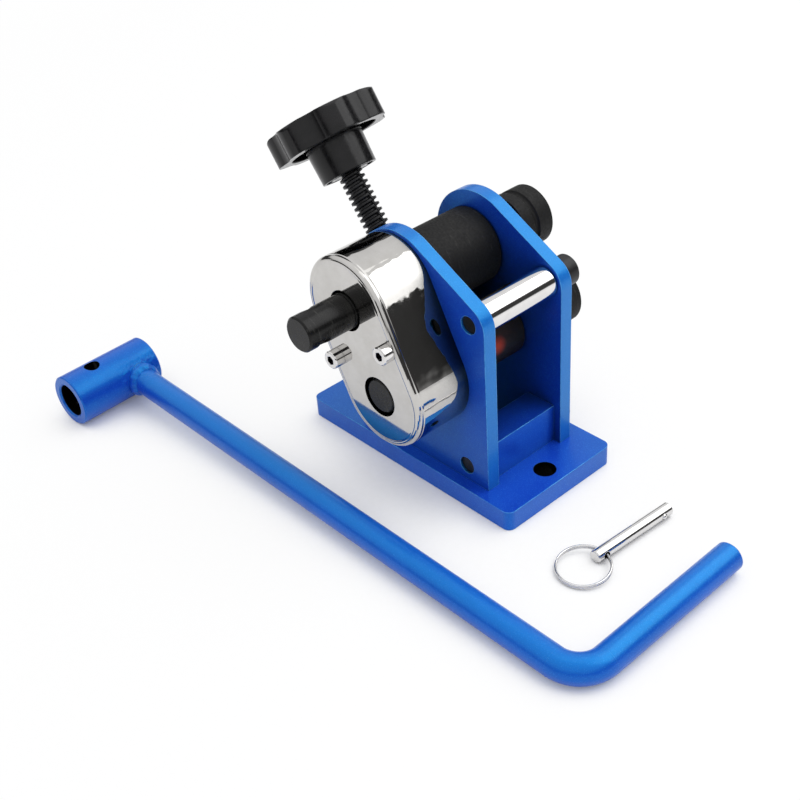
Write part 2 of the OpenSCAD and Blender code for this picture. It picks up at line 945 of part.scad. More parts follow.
module lower_end_washer() {
    at_driven() end_washer(end_washer_d, end_screw_d);
}

module lower_end_screw() {
    at_driven() end_screw(end_screw_d, end_head_d, end_screw_l);
}

// Yoke: a head under the screw, two arms, and guides that run in the plates' slots
module idler_yoke() {
    arm_gap = plate_gap - 2 * (roller_gap + yoke_arm_t);
    rear_y = rear_in_y - roller_gap;
    front_y = front_in_y + roller_gap;
    color("#3a3a3c") at_idler() difference() {
        union() {
            for (y0 = [front_y, rear_y - yoke_arm_t]) {
                slab(y0, yoke_arm_t) yoke_arm_outline();
            }
            translate([-yoke_w / 2, front_y, yoke_head_z0]) {
                cube([yoke_w, rear_y - front_y, yoke_head_z1 - yoke_head_z0]);
            }
            slab(front_in_y - front_slot_depth + run_gap, front_slot_depth + roller_gap) guide_outline();
            slab(rear_y - over, plate_t + roller_gap) guide_outline();
        }
        bar_y(idler_bush_d, front_out_y, rear_out_y + over);
        translate([0, gap_y, yoke_head_z0 - over]) {
            cylinder(h = yoke_head_z1 - yoke_head_z0 + 2 * over, d = journal_d + 2 * fit_gap);
        }
    }
}

module yoke_arm_outline() {
    circle(d = yoke_w);
    translate([-yoke_w / 2, 0]) square([yoke_w, yoke_head_z1]);
}

module guide_outline() {
    rounded_outline([
        [0, 0, guide_w / 2],
        [0, guide_top_z - guide_w / 2, guide_w / 2]
    ]);
}

// Bushes pressed into the yoke's two guides
module idler_bush(y0, y1) {
    color("#b5793a") at_idler() turned([
        [idler_shaft_d / 2 + fit_gap, y0],
        [idler_bush_d / 2, y0],
        [idler_bush_d / 2, y1],
        [idler_shaft_d / 2 + fit_gap, y1]
    ]);
}

module idler_bush_front() {
    idler_bush(front_in_y - front_slot_depth + run_gap, front_in_y + roller_gap + yoke_arm_t);
}

module idler_bush_rear() {
    idler_bush(rear_in_y - roller_gap - yoke_arm_t, rear_in_y - roller_gap - over + plate_t + roller_gap);
}

// Adjustable roller's shaft with its keys, roller, outer roller, washer and screw
function idler_key_spans() = [
    [gap_y - outer_key_l / 2, gap_y + outer_key_l / 2],
    [outer_y0 + run_gap, outer_y0 + outer_key_l]
];

module idler_shaft() {
    color("#262626") at_idler() difference() {
        roller_blank(idler_shaft_d, idler_front_y, outer_y1 - shaft_short, head_edge, 0);
        for (span = idler_key_spans()) {
            key_box(span[0], span[1], idler_shaft_d / 2 - idler_key_in, idler_shaft_d, idler_key_w);
        }
        bar_y(nut_screw_d + 2 * seat_gap, outer_y1 - nut_screw_l - over, outer_y1);
    }
}

module idler_keys() {
    color("dimgray") at_idler() for (span = idler_key_spans()) {
        key_box(span[0], span[1], idler_shaft_d / 2 - idler_key_in, idler_shaft_d / 2 + idler_key_out, idler_key_w);
    }
}

module idler_key_slot(y0, y1) {
    key_box(y0 - over, y1 + over, 0, idler_shaft_d / 2 + idler_key_out + key_slack / 2, idler_key_w);
}

module idler_roller() {
    y0 = front_in_y + roller_gap + yoke_arm_t + run_gap;
    y1 = rear_in_y - roller_gap - yoke_arm_t - run_gap;
    color("#2b2b2b") at_idler() difference() {
        roller_blank(idler_d, y0, y1, roller_edge, idler_shaft_d);
        idler_key_slot(y0, y1);
    }
}

module idler_outer_roller() {
    color("#2b2b2b") at_idler() difference() {
        grooved_blank(idler_d, idler_shaft_d);
        idler_key_slot(outer_y0, outer_y1);
    }
}

module idler_end_washer() {
    at_idler() end_washer(idler_d * idler_washer_share, nut_screw_d);
}

module idler_end_screw() {
    at_idler() end_screw(nut_screw_d, nut_head_d, nut_screw_l);
}

// Adjusting screw: journal in the yoke, thread, and a plain top held in the knob
module adjusting_screw() {
    root_r = screw_d / 2 - thread_depth;
    turns = floor((knob_height - yoke_head_z1 - over) / screw_pitch);
    thread_z0 = knob_height - turns * screw_pitch;
    groove_z1 = yoke_head_z0 - seat_gap;
    color("#202020") at_idler() translate([0, gap_y, 0]) rotate_extrude() polygon(concat(
        [
            [0, journal_z0],
            [journal_d / 2 - head_edge, journal_z0],
            [journal_d / 2, journal_z0 + head_edge],
            [journal_d / 2, groove_z1 - ring_t],
            [journal_d / 2 - ring_groove_in, groove_z1 - ring_t],
            [journal_d / 2 - ring_groove_in, groove_z1],
            [journal_d / 2, groove_z1],
            [journal_d / 2, yoke_head_z1],
            [root_r, yoke_head_z1],
            [root_r, thread_z0]
        ],
        [for (i = [0:turns - 1]) each [
            [root_r, thread_z0 + (i + thread_root_share / 2) * screw_pitch],
            [screw_d / 2, thread_z0 + (i + 0.5 - thread_flat_share / 2) * screw_pitch],
            [screw_d / 2, thread_z0 + (i + 0.5 + thread_flat_share / 2) * screw_pitch],
            [root_r, thread_z0 + (i + 1 - thread_root_share / 2) * screw_pitch]
        ]],
        [
            [root_r, knob_height],
            [screw_top_d / 2, knob_height],
            [screw_top_d / 2, knob_height + insert_l],
            [0, knob_height + insert_l]
        ]
    ));
}

module screw_retaining_ring() {
    color("#303030") at_idler() translate([0, gap_y, yoke_head_z0 - seat_gap - ring_t]) {
        rotate([-90, 0, 0]) retaining_ring(journal_d, -ring_t);
    }
}

module knob_insert() {
    color("#b08d57") at_idler() translate([0, gap_y, knob_height]) difference() {
        cylinder(h = insert_l, d = insert_d);
        translate([0, 0, -over]) cylinder(h = insert_l + 2 * over, d = screw_top_d);
    }
}

// Lobed outline: lobe arcs that run into the scallops between them
module knob_outline() {
    half_step = 180 / knob_lobes;
    corners = 2 * knob_lobes;
    reach = lobe_r + scallop_r - lobe_overlap;
    scallop_at = lobe_at * cos(half_step) + sqrt(pow(reach, 2) - pow(lobe_at * sin(half_step), 2));
    difference() {
        polygon([
            for (i = [0:corners - 1])
                let (r = i % 2 == 0 ? lobe_at : scallop_at)
                r * [cos(i * half_step), sin(i * half_step)]
        ]);
        for (i = [0:knob_lobes - 1]) {
            rotate((2 * i + 1) * half_step) translate([scallop_at, 0]) circle(r = scallop_r);
        }
    }
    for (i = [0:knob_lobes - 1]) {
        rotate(2 * i * half_step) translate([lobe_at, 0]) circle(r = lobe_r);
    }
}

module knob() {
    rim_z = knob_hub_h;
    top_z = rim_z + knob_rim_h;
    pocket_r1 = knob_hub_d / 2 - hub_pocket_in;
    pocket_r0 = insert_d / 2 + hub_pocket_in;
    color("#181818") at_idler() translate([0, gap_y, knob_height]) rotate(knob_turn) difference() {
        union() {
            intersection() {
                translate([0, 0, rim_z]) linear_extrude(knob_rim_h) knob_outline();
                rotate_extrude() polygon(concat(
                    [[0, 0], [knob_d, 0], [knob_d, rim_z], [knob_d / 2, rim_z]],
                    [for (i = [0:edge_steps]) [
                        knob_d / 2 - knob_top_edge_r + knob_top_edge_r * cos(i * 90 / edge_steps),
                        top_z - knob_top_edge_r + knob_top_edge_r * sin(i * 90 / edge_steps)
                    ]],
                    [[0, top_z]]
                ));
            }
            cylinder(h = rim_z + over, d1 = knob_hub_d, d2 = knob_hub_d + 2 * hub_taper);
        }
        translate([0, 0, -over]) cylinder(h = insert_l + over, d = insert_d);
        translate([0, 0, rim_z - over]) linear_extrude(rim_pocket_depth + over) difference() {
            circle(d = knob_d - 2 * rim_wall);
            circle(d = knob_hub_d + 2 * hub_taper + 2 * rim_pocket_gap);
        }
        translate([0, 0, -over]) linear_extrude(hub_pocket_depth + over) difference() {
            circle(r = pocket_r1);
            circle(r = pocket_r0);
            for (i = [0:hub_ribs - 1]) {
                rotate(i * 360 / hub_ribs) translate([0, -hub_rib_t / 2]) square([knob_hub_d, hub_rib_t]);
            }
        }
    }
}

// Frame of the crank: origin where the bar's centre line meets the socket's axis, X along the bar
module at_crank() {
    translate([crank_x, crank_y, socket_d / 2]) rotate([0, crank_sink_angle, crank_turn]) children();
}

// The socket's own frame: Y level along the bore, out of the open end towards -Y
module at_socket() {
    translate([crank_x, crank_y, socket_d / 2]) rotate(crank_turn + socket_skew) children();
}

module crank_socket() {
    open_y = socket_back - socket_l;
    color("royalblue") at_socket() difference() {
        turned([
            [0, socket_back],
            [socket_d / 2 - socket_edge, socket_back],
            [socket_d / 2, socket_back - socket_edge],
            [socket_d / 2, open_y + socket_edge],
            [socket_d / 2 - socket_edge, open_y],
            [socket_mouth_d / 2, open_y],
            [socket_bore_d / 2, open_y + socket_mouth_h],
            [socket_bore_d / 2, open_y + socket_bore_l],
            [0, open_y + socket_bore_l]
        ]);
        translate([0, open_y + socket_hole_in, 0]) rotate([0, 90 - socket_hole_angle, 0]) {
            cylinder(h = 2 * socket_d, d = socket_hole_d, center = true);
        }
    }
}

// Bar: straight arm coped to the socket, a bend drawn slightly thinner, and the grip with a broken edge
module crank_bar() {
    weld_d = bar_d + 2 * weld_r;
    weld_x = sqrt(pow(socket_d / 2, 2) - pow(weld_d / 2, 2));
    color("royalblue") difference() {
        at_crank() {
            rotate([0, 90, 0]) cylinder(h = arm_straight + over, d = bar_d);
            translate([weld_x, 0, 0]) rotate([0, 90, 0]) {
                cylinder(h = socket_d / 2 + weld_r - weld_x, d1 = weld_d, d2 = bar_d);
            }
            translate([arm_straight, turn_r, 0]) rotate(-90) {
                rotate_extrude(angle = sweep) translate([turn_r, 0]) circle(d = bar_d - bend_thinning);
                rotate(sweep) translate([turn_r, 0, 0]) grip();
            }
        }
        at_socket() bar_y(socket_d, -socket_l, socket_l);
    }
}

// Straight grip along Y, run a little way back into the bend
module grip() {
    turned([
        [0, -over],
        [bar_d / 2, -over],
        [bar_d / 2, grip_straight - grip_edge],
        [bar_d / 2 - grip_edge, grip_straight],
        [0, grip_straight]
    ]);
}

// Frame of the locking pin: origin at its butt, Y towards its tip
module at_pin() {
    translate([pin_x, pin_y, pin_d / 2]) rotate([0, 0, -pin_turn]) children();
}

module at_ball() {
    translate([pin_d / 2 + ball_out - ball_d / 2, pin_l - ball_in, 0]) children();
}

module locking_pin() {
    color("gainsboro") at_pin() difference() {
        roller_blank(pin_d, 0, pin_l, pin_edge, 0);
        translate([0, pin_hole_in, 0]) rotate([0, 90, 0]) cylinder(h = 2 * pin_d, d = pin_hole_d, center = true);
        translate([-spring_end, pin_l - ball_in, 0]) rotate([0, 90, 0]) {
            cylinder(h = pin_d, d = ball_d + 2 * ball_gap);
        }
    }
}

module detent_ball() {
    color("silver") at_pin() at_ball() sphere(d = ball_d);
}

// Small compression spring behind the ball, as a plain sleeve
module detent_spring() {
    seat_r = spring_d / 2 - spring_wire_d;
    ball_x = pin_d / 2 + ball_out - ball_d / 2;
    back_x = ball_x - sqrt(pow(ball_d / 2, 2) - pow(seat_r, 2)) - spring_seat_gap;
    color("silver") at_pin() translate([-spring_end, pin_l - ball_in, 0]) rotate([0, 90, 0]) difference() {
        cylinder(h = spring_end + back_x, d = spring_d);
        translate([0, 0, -over]) cylinder(h = spring_end + back_x + 2 * over, d = 2 * seat_r);
    }
}

// Pull ring of two turns of wire, through the pin's cross hole and down to the bench
module pull_ring() {
    coil_r = ring_d / 2 - ring_wire_d / 2;
    drop = asin((pin_d / 2 - ring_wire_d) / (2 * coil_r));
    color("gainsboro") at_pin() translate([0, pin_hole_in + pull_ring_sag, 0]) {
        rotate([drop, 0, 0]) translate([0, -coil_r, 0]) rotate_extrude() {
            for (side = [-1, 1]) {
                translate([coil_r, side * ring_wire_d * ring_turn_share]) circle(d = ring_wire_d, $fn = ring_facets);
            }
        }
    }
}

base_plate();
front_side_plate();
rear_side_plate();
spacer_block();
tie_bar();
tie_bolts();
base_screws();
screw_nut_block();
nut_block_screws();
drive_bush_front();
drive_bush_rear();
driven_bush_front();
driven_bush_rear();
gear_cover();
cover_standoffs();
cover_screws();
drive_shaft();
drive_gear();
drive_keys();
drive_gear_ring();
upper_roller();
upper_outer_roller();
upper_end_washer();
upper_end_screw();
driven_shaft();
driven_gear();
driven_keys();
driven_gear_ring();
lower_roller();
lower_outer_roller();
lower_end_washer();
lower_end_screw();
idler_yoke();
idler_bush_front();
idler_bush_rear();
idler_shaft();
idler_keys();
idler_roller();
idler_outer_roller();
idler_end_washer();
idler_end_screw();
adjusting_screw();
knob();
knob_insert();
screw_retaining_ring();
crank_socket();
crank_bar();
locking_pin();
detent_ball();
detent_spring();
pull_ring();
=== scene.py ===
import json
import math

import bpy
from mathutils import Matrix, Vector


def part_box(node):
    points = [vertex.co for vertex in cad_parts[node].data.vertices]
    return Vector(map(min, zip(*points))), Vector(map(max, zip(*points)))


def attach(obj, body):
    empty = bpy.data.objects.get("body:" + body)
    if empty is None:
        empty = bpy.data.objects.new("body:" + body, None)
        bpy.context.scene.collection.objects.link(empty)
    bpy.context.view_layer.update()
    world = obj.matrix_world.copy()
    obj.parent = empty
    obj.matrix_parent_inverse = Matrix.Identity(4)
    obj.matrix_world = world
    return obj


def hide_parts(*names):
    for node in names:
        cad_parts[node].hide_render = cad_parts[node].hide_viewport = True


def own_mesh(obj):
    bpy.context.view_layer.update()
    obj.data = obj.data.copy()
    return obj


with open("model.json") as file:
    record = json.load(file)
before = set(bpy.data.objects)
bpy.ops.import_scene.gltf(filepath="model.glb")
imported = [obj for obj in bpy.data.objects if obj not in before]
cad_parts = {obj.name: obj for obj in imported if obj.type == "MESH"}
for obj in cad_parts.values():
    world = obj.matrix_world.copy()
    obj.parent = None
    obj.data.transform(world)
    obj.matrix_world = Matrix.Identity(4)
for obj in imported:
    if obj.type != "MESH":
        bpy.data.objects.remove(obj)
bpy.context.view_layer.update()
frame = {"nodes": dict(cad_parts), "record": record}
nodes = frame["nodes"]

MM = 0.001
FULL_TURN = 2 * math.pi
ACROSS = Vector((0, 1, 0))
UPWARD = Vector((0, 0, 1))

# Places of the model's own frames, in millimetres
SCREW_TILT = math.radians(36.44)
SCREW_PITCH = 3.0
IDLER_SHAFT = Vector((-20.4228, -1.3, 66.1028))
SCREW_UP = Vector((-math.sin(SCREW_TILT), 0, math.cos(SCREW_TILT)))
SCREW_SIDE = Vector((math.cos(SCREW_TILT), 0, math.sin(SCREW_TILT)))
PIN_R = 3.175
PIN_TURN = math.radians(3.6)
PIN_BUTT = Vector((111.3, -24.8, PIN_R))
PIN_HOLE_Y = 4.8

# Places and sizes that the materials follow, in metres
BENCH_HOLE_X = 0.0594
BENCH_HOLE_R = 0.00535
SOCKET_BORE_R = 0.0087
SOCKET_PIN_HOLE_R = 0.0040
WELD_POINT = Vector((-0.1474, -0.0901, 0.0135))
RED_REFLECTION_POINT = (0.0294, 0.0012, 0.0668)
COVER_MIDDLE = Vector((5.74, 0, 82.82)) * MM
COVER_LINE = Vector((0.4478, 0, -0.8941))

# Edge wear and painted edge highlight: the bevel it is measured on, and where the mask starts and is full
FLAT_RIM = (0.0006, 0.015, 0.08)
ROUND_RIM = (0.0004, 0.05, 0.20)

# How far a grain is squeezed along x, y and z
EVEN_GRAIN = (1, 1, 1)
SHAFT_GRAIN = (1, 4, 1)
RUB_STREAKS = (0.35, 2.2, 0.35)
TURNING_MARKS = (0.2, 3, 0.2)

# Sockets of the mix node for each kind of data: share, first, second and result
MIX_SOCKETS = {"RGBA": (0, 6, 7, 2), "VECTOR": (0, 4, 5, 1)}


def rgb(r, g, b):
    return (r, g, b, 1.0)


def shade(color, factor):
    return rgb(*(min(1.0, c * factor) for c in color[:3]))


# Colours, in linear light
WHITE = rgb(1, 1, 1)
PAINT_DEEP = rgb(0.0055, 0.035, 0.45)
PAINT_ROYAL = rgb(0.0075, 0.043, 0.52)
PAINTED_CUT_FACE_LIGHT = rgb(0.010, 0.140, 0.53)
PAINTED_TOP_LIGHT = rgb(0.010, 0.155, 0.56)
PAINT_GRAIN = rgb(0.01, 0.16, 0.74)
PAINT_FLAKE = rgb(0.08, 0.34, 0.90)
PAINT_WEAR_AND_EDGE_LIGHT = rgb(0.17, 0.52, 0.95)
PAINTED_SHADE_BLUE = rgb(0.0035, 0.0110, 0.016)
PAINT_REFLECTION = rgb(0.02, 0.62, 1.0)
PAINTED_HOLE_SHADE = rgb(0.004, 0.004, 0.004)
COVER_LIGHT = rgb(0.600, 0.588, 0.570)
COVER_HAZE = rgb(0.535, 0.522, 0.500)
COVER_PAINTED_SHADE = rgb(0.030, 0.040, 0.045)
NICKEL = rgb(0.74, 0.73, 0.72)
NICKEL_SOCKET_SHADE = rgb(0.03, 0.03, 0.045)
RUBBED_STEEL = rgb(0.16, 0.16, 0.15)
PAINTED_RED_REFLECTION = rgb(0.50, 0.040, 0.016)
PLASTIC_DARK = rgb(0.0045, 0.0045, 0.005)
PLASTIC_LIGHT = rgb(0.009, 0.0085, 0.0095)
FLOOR_DARK = rgb(0.90, 0.90, 0.905)
FLOOR_LIGHT = rgb(0.92, 0.92, 0.925)
HORIZON = rgb(0.75, 0.75, 0.76)


# Node helpers
class Tree:
    """A small wrapper that builds the nodes of a material or a world."""

    def __init__(self, owner, output_kind, coords):
        owner.use_nodes = True
        self.tree = owner.node_tree
        self.tree.nodes.clear()
        self.output = self.add(output_kind)
        self.coords = self.add("ShaderNodeTexCoord").outputs[coords]

    def add(self, kind, **settings):
        node = self.tree.nodes.new(kind)
        for key, value in settings.items():
            setattr(node, key, value)
        return node

    def link(self, source, target):
        self.tree.links.new(source, target)

    def put(self, socket, value):
        if isinstance(value, bpy.types.NodeSocket):
            self.link(value, socket)
        else:
            socket.default_value = value

    def feed(self, node, **values):
        """Sets or links sockets by name; an underscore stands for a space."""
        for key, value in values.items():
            self.put(node.inputs[key.replace("_", " ")], value)

    def fill(self, node, *values):
        """Sets or links the first sockets in their order."""
        for socket, value in zip(node.inputs, values):
            self.put(socket, value)
        return node

    def noise(self, scale, detail=2.0, rough=0.5, stretch=None, distortion=0.0):
        place = self.coords
        if stretch:
            mapping = self.add("ShaderNodeMapping")
            self.feed(mapping, Vector=place, Scale=stretch)
            place = mapping.outputs["Vector"]
        node = self.add("ShaderNodeTexNoise")
        self.feed(node, Vector=place, Scale=scale, Detail=detail, Roughness=rough, Distortion=distortion)
        return node.outputs["Fac"]

    def span(self, value, low, high, to_low=0.0, to_high=1.0, curve="SMOOTHSTEP"):
        """Maps a range of values to another, held at both ends."""
        node = self.add("ShaderNodeMapRange", interpolation_type=curve)
        self.feed(node, Value=value, From_Min=low, From_Max=high, To_Min=to_low, To_Max=to_high)
        return node.outputs["Result"]

    def math(self, operation, *values):
        return self.fill(self.add("ShaderNodeMath", operation=operation), *values).outputs[0]

    def times(self, a, b):
        return self.math("MULTIPLY", a, b)

    def plus(self, *values):
        total = values[0]
        for value in values[1:]:
            total = self.math("ADD", total, value)
        return total

    def vector(self, operation, *values):
        """A vector operation that gives a vector."""
        return self.fill(self.add("ShaderNodeVectorMath", operation=operation), *values).outputs["Vector"]

    def measure(self, operation, *values):
        """A vector operation that gives a number."""
        return self.fill(self.add("ShaderNodeVectorMath", operation=operation), *values).outputs["Value"]

    def mix_shaders(self, share, first, second):
        """The surface: the first shader where the share is 0, the second where it is 1."""
        join = self.fill(self.add("ShaderNodeMixShader"), share, first.outputs[0], second.outputs[0])
        self.link(join.outputs["Shader"], self.output.inputs["Surface"])


class Material(Tree):
    """A node material."""

    def __init__(self, name):
        self.material = bpy.data.materials.new(name)
        super().__init__(self.material, "ShaderNodeOutputMaterial", "Object")

    def cells(self, scale):
        """A random number for each small cell."""
        node = self.add("ShaderNodeTexVoronoi")
        self.feed(node, Vector=self.coords, Scale=scale)
        split = self.add("ShaderNodeSeparateColor")
        self.feed(split, Color=node.outputs["Color"])
        return split.outputs[0]

    def mix(self, share, first, second, kind="RGBA"):
        node = self.add("ShaderNodeMix", data_type=kind)
        *inputs, result = MIX_SOCKETS[kind]
        for index, value in zip(inputs, (share, first, second)):
            self.put(node.inputs[index], value)
        return node.outputs[result]

    def normal(self):
        return self.add("ShaderNodeNewGeometry").outputs["Normal"]

    def soft_edge(self, radius):
        node = self.add("ShaderNodeBevel", samples=6)
        self.feed(node, Radius=radius)
        return node.outputs["Normal"]

    def edge_mask(self, radius, low=0.02, high=0.2):
        """1 along sharp edges, 0 on faces."""
        dot = self.measure("DOT_PRODUCT", self.soft_edge(radius), self.normal())
        return self.span(self.math("SUBTRACT", 1.0, dot), low, high)

    def crevice(self, distance, low, high, alone=False):
        """0 deep in recesses and corners, 1 on open faces."""
        node = self.add("ShaderNodeAmbientOcclusion", samples=8, only_local=alone)
        self.feed(node, Distance=distance)
        return self.span(node.outputs["AO"], low, high)

    def from_axis(self, point, axis):
        """The distance from a line, in metres."""
        away = self.vector("SUBTRACT", self.coords, point)
        return self.measure("LENGTH", self.vector("CROSS_PRODUCT", away, axis))

    def from_point(self, point):
        """The distance from a point, in metres."""
        return self.measure("DISTANCE", self.coords, point)

    def along(self, point, axis):
        """The place along a line, in metres."""
        return self.measure("DOT_PRODUCT", self.vector("SUBTRACT", self.coords, point), axis)

    def facing(self, axis, low, high):
        """1 on faces of the piece that look along an axis, either way."""
        turn = self.add(
            "ShaderNodeVectorTransform", vector_type="NORMAL", convert_from="WORLD", convert_to="OBJECT",
        )
        self.fill(turn, self.normal())
        dot = self.measure("DOT_PRODUCT", turn.outputs[0], axis)
        return self.span(self.math("ABSOLUTE", dot), low, high)

    def bump(self, height, strength, distance, normal):
        node = self.add("ShaderNodeBump")
        self.feed(node, Strength=strength, Distance=distance, Height=height, Normal=normal)
        return node.outputs["Normal"]

    def surface(self, **values):
        shader = self.add("ShaderNodeBsdfPrincipled")
        self.feed(shader, **values)
        self.link(shader.outputs["BSDF"], self.output.inputs["Surface"])
        return self.material


# Materials
def blue_paint(name, holes=(), cut_edges=None, weld=None, alone=True, rim=FLAT_RIM, lit=0.0):
    """Royal blue metallic powder coat, thin and lighter along its edges from wear and a painted edge
    highlight, with painted shade in its recesses and near black painted shade inside its holes.
    """
    cut_light_share, flake_share, wear_and_edge_light_share = 0.85, 0.30, 0.9
    wall_start, wall_end, hole_rough = 0.00005, 0.0004, 0.95
    m = Material(name)
    broad = m.noise(scale=22, detail=3)
    body = m.mix(m.span(broad, low=0.3, high=0.7), PAINT_DEEP, PAINT_ROYAL)
    # Painted light: the plates' narrow cut faces, which do not look across, are painted a lighter azure for
    # the light they catch.
    if cut_edges:
        cut_face_light = m.math("SUBTRACT", 1.0, m.facing(cut_edges, low=0.3, high=0.9))
        body = m.mix(m.times(cut_face_light, cut_light_share), body, PAINTED_CUT_FACE_LIGHT)
    # Painted light: faces that look up are painted a lighter azure, as if lit from above.
    if lit:
        top_light = m.facing(UPWARD, low=0.25, high=0.95)
        body = m.mix(m.times(top_light, lit), body, PAINTED_TOP_LIGHT)
    grain = m.noise(scale=2400, detail=2)
    body = m.mix(m.span(grain, low=0.35, high=0.75, to_high=0.25), body, PAINT_GRAIN)
    flake = m.span(m.cells(scale=4200), low=0.88, high=0.99)
    body = m.mix(m.times(flake, flake_share), body, PAINT_FLAKE)
    # Edge wear with a painted edge highlight: the edges are painted lighter, broken up by scuffs.
    scuff = m.span(m.noise(scale=120, detail=4, rough=0.7), low=0.40, high=0.60, to_low=0.35)
    wear_and_edge_light = m.times(m.edge_mask(*rim), scuff)
    body = m.mix(m.times(wear_and_edge_light, wear_and_edge_light_share), body, PAINT_WEAR_AND_EDGE_LIGHT)
    # Painted shade: the blue is darkened in recesses, in corners and between parts.
    body = m.mix(m.crevice(distance=0.060, low=0.06, high=0.66, alone=alone), PAINTED_SHADE_BLUE, body)
    rough = m.span(m.noise(scale=260, detail=2), low=0.3, high=0.7, to_low=0.30, to_high=0.37)
    hole_shade = 0.0
    # Painted shade inside the holes: the walls are painted near black and made metallic so they show no
    # sheen.
    for point, axis, radius in holes:
        away = m.from_axis(point, axis)
        inside = m.span(away, radius + wall_start, radius + wall_end, to_low=1.0, to_high=0.0)
        hole_shade = m.math("MAXIMUM", hole_shade, inside)
        body = m.mix(inside, body, PAINTED_HOLE_SHADE)
        rough = m.math("MAXIMUM", rough, m.times(inside, hole_rough))
    texture = m.noise(scale=900, detail=1, rough=0.4)
    normal = m.bump(texture, strength=0.05, distance=0.0002, normal=m.soft_edge(radius=0.0006))
    if weld:
        near = m.span(m.from_point(weld), low=0.0105, high=0.0175, to_low=1.0, to_high=0.0)
        lumps = m.times(m.noise(scale=330, detail=2, distortion=1.2), near)
        normal = m.bump(lumps, strength=0.5, distance=0.0012, normal=normal)
    return m.surface(
        Base_Color=body, Metallic=hole_shade, Roughness=rough, Normal=normal, IOR=2.1,
        Specular_Tint=PAINT_REFLECTION, Coat_Weight=0.14, Coat_Roughness=0.12, Coat_IOR=1.5,
    )


def polished(name, color, rough, wave, wave_scale):
    """Polished plating with a slight haze, with painted shade in its sockets and recesses."""
    haze_tone, smear_rough = 0.94, 1.7
    m = Material(name)
    haze = m.noise(scale=160, detail=4, rough=0.6)
    tone = m.mix(m.span(haze, low=0.35, high=0.7), color, shade(color, haze_tone))
    # Painted shade: the plating darkens in sockets and recesses.
    tone = m.mix(m.crevice(distance=0.006, low=0.20, high=0.62), NICKEL_SOCKET_SHADE, tone)
    waves = m.noise(scale=wave_scale, detail=2, rough=0.4)
    normal = m.bump(waves, strength=wave, distance=0.001, normal=m.soft_edge(radius=0.0004))
    smear = m.noise(scale=420, detail=3)
    roughness = m.span(smear, low=0.35, high=0.8, to_low=rough, to_high=rough * smear_rough)
    return m.surface(Base_Color=tone, Metallic=1.0, Roughness=roughness, Normal=normal)


def cover_line_distance(m, place):
    """The distance from the line between the middles of the cover's round ends, in metres."""
    half_l, flat = 0.02100, (1, 0, 1)
    held = m.math("MINIMUM", m.math("MAXIMUM", place, -half_l), half_l)
    foot = m.fill(m.add("ShaderNodeVectorMath", operation="SCALE"), COVER_LINE)
    m.feed(foot, Scale=held)
    away = m.vector("SUBTRACT", m.coords, COVER_MIDDLE)
    rest = m.vector("SUBTRACT", away, foot.outputs[0])
    return m.measure("LENGTH", m.vector("MULTIPLY", rest, flat))


def pressed_chrome():
    """The polished pressed cover: flanks slightly crowned and rippled by the press, the face nearly flat."""
    front_y, lip_depth, groove_reach, fade = -0.0298, 0.0283, 0.0226, 0.0009
    crown_rise, draft_slope = -2.0, 0.075
    ripple_h, lip_h, groove_h, wave_h = 0.00010, -0.00020, -0.00012, 0.00002
    m = Material("polished_cover")
    haze = m.noise(scale=90, detail=5, rough=0.65)
    tone = m.mix(m.span(haze, low=0.3, high=0.75), COVER_LIGHT, COVER_HAZE)
    front = m.facing(ACROSS, low=0.80, high=0.99)
    # Painted shade: the flanks darken where they meet the plates, the front face excepted.
    unshaded_flank = m.crevice(distance=0.040, low=0.56, high=0.97)
    tone = m.mix(m.math("MAXIMUM", unshaded_flank, front), COVER_PAINTED_SHADE, tone)
    base = m.soft_edge(radius=0.0003)

    # Crowned flanks with a little draft, and the ripple of the press
    place = m.along(COVER_MIDDLE, COVER_LINE)
    depth = m.along((0, front_y, 0), ACROSS)
    crown = m.times(m.times(place, place), crown_rise)
    draft = m.times(depth, draft_slope)
    ripple = m.times(m.noise(scale=150, detail=1, rough=0.4), ripple_h)
    from_lip = m.math("ABSOLUTE", m.plus(depth, lip_depth))
    lip = m.span(from_lip, low=0.0, high=fade, to_low=lip_h, to_high=0.0)
    flank = m.bump(m.plus(crown, draft, ripple, lip), strength=1.0, distance=1.0, normal=base)

    # A fine groove round the face
    reach = cover_line_distance(m, place)
    from_groove = m.math("ABSOLUTE", m.math("SUBTRACT", reach, groove_reach))
    groove = m.span(from_groove, low=0.0, high=fade, to_low=groove_h, to_high=0.0)
    wave = m.times(m.noise(scale=40, detail=2, rough=0.4), wave_h)
    face = m.bump(m.plus(groove, wave), strength=1.0, distance=1.0, normal=base)

    smear = m.noise(scale=420, detail=3)
    roughness = m.span(smear, low=0.35, high=0.8, to_low=0.030, to_high=0.055)
    normal = m.vector("NORMALIZE", m.mix(front, flank, face, kind="VECTOR"))
    return m.surface(Base_Color=tone, Metallic=1.0, Roughness=roughness, Normal=normal)


